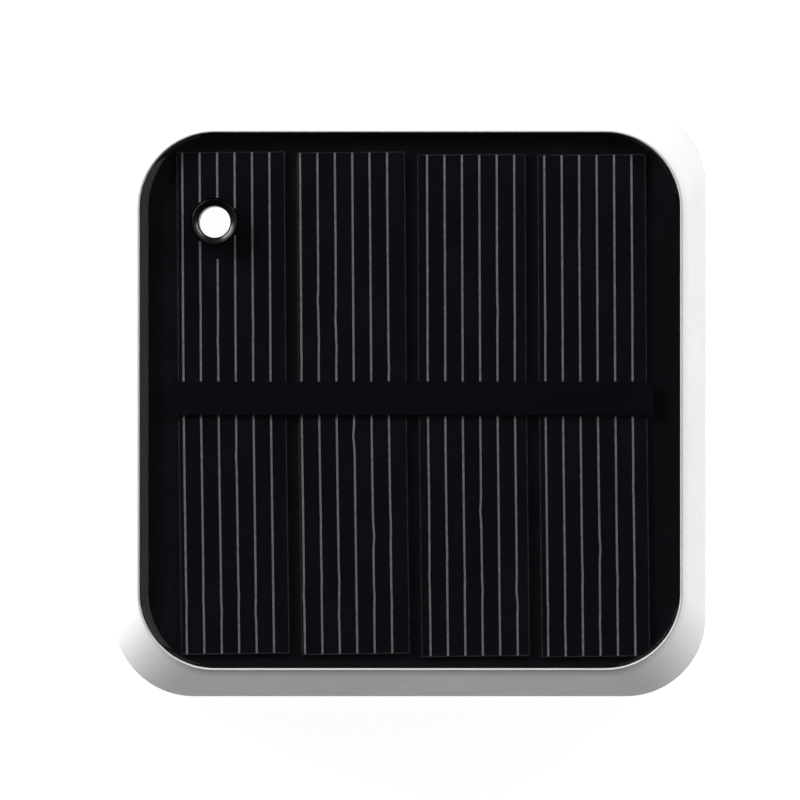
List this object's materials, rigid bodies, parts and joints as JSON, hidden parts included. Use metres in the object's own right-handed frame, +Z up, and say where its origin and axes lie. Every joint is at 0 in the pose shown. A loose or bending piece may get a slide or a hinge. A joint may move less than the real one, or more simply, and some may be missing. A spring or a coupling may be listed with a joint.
{
  "type": "solar charging pack",
  "caption": "Small rounded-square solar charging pack: tapered white housing, black solar face, corner hanging hole and a sliding battery door underneath.",
  "frame": {"origin": "on the ground under the middle of the pack, with the pack lying on its feet", "axes": "+Z up through the solar face, +Y towards the edge with the hanging hole, +X to the right with the hole at the upper left"},
  "size_m": [0.083, 0.083, 0.0233],
  "materials": {
    "white_plastic": "white moulded ABS, satin",
    "clear_cover": "clear cast acrylic, glossy, over black",
    "black_board": "black solder-masked laminate",
    "adhesive_foam": "double-sided foam tape",
    "black_tape": "black polyester tape",
    "black_gloss": "polished black plastic",
    "silicon": "dark blue-black silicon with printed silver fingers",
    "tinned_copper": "tinned copper ribbon",
    "nickel_plate": "nickel plated steel",
    "battery_sleeve": "plain printed plastic sleeve over a steel can",
    "circuit_green": "green solder mask",
    "chip_black": "moulded epoxy",
    "capacitor_can": "dark blue sleeve over an aluminium can",
    "zinc_steel": "zinc plated",
    "rubber": "matte rubber",
    "red_insulation": "red PVC insulation",
    "black_insulation": "black PVC insulation"
  },
  "bodies": {
    "pack": {"housing_shell": "white_plastic", "base_cover": "white_plastic", "clear_cover": "clear_cover", "backing_board": "black_board", "adhesive_frame": "adhesive_foam", "masking_strip": "black_tape", "hanging_eyelet": "black_gloss", "solar_cell_upper_1": "silicon", "solar_cell_upper_2": "silicon", "solar_cell_upper_3": "silicon", "solar_cell_upper_4": "silicon", "solar_cell_lower_1": "silicon", "solar_cell_lower_2": "silicon", "solar_cell_lower_3": "silicon", "solar_cell_lower_4": "silicon", "interconnect_1": "tinned_copper", "interconnect_2": "tinned_copper", "interconnect_3": "tinned_copper", "interconnect_4": "tinned_copper", "interconnect_5": "tinned_copper", "interconnect_6": "tinned_copper", "interconnect_7": "tinned_copper", "aa_battery_1": "battery_sleeve", "aa_battery_2": "battery_sleeve", "aa_battery_3": "battery_sleeve", "battery_contact_plus": "nickel_plate", "battery_contact_minus": "nickel_plate", "battery_bridge_rear": "nickel_plate", "battery_bridge_front": "nickel_plate", "contact_spring_1": "nickel_plate", "contact_spring_2": "nickel_plate", "contact_spring_3": "nickel_plate", "output_contact_plus": "nickel_plate", "output_contact_minus": "nickel_plate", "circuit_board": "circuit_green", "charge_controller": "chip_black", "blocking_diode": "chip_black", "filter_capacitor": "capacitor_can", "board_screw_1": "zinc_steel", "board_screw_2": "zinc_steel", "housing_screw_1": "zinc_steel", "housing_screw_2": "zinc_steel", "housing_screw_3": "zinc_steel", "housing_screw_4": "zinc_steel", "rubber_foot_1": "rubber", "rubber_foot_2": "rubber", "rubber_foot_3": "rubber", "rubber_foot_4": "rubber", "solar_lead_red": "red_insulation", "solar_lead_black": "black_insulation", "battery_lead_red": "red_insulation", "battery_lead_black": "black_insulation"},
    "door": {"battery_door": "white_plastic"}
  },
  "joints": [
    {"name": "battery_door_slide", "type": "slide", "parent": "pack", "child": "door", "axis": [0, -1, 0], "range_m": [0, 0.075]}
  ]
}
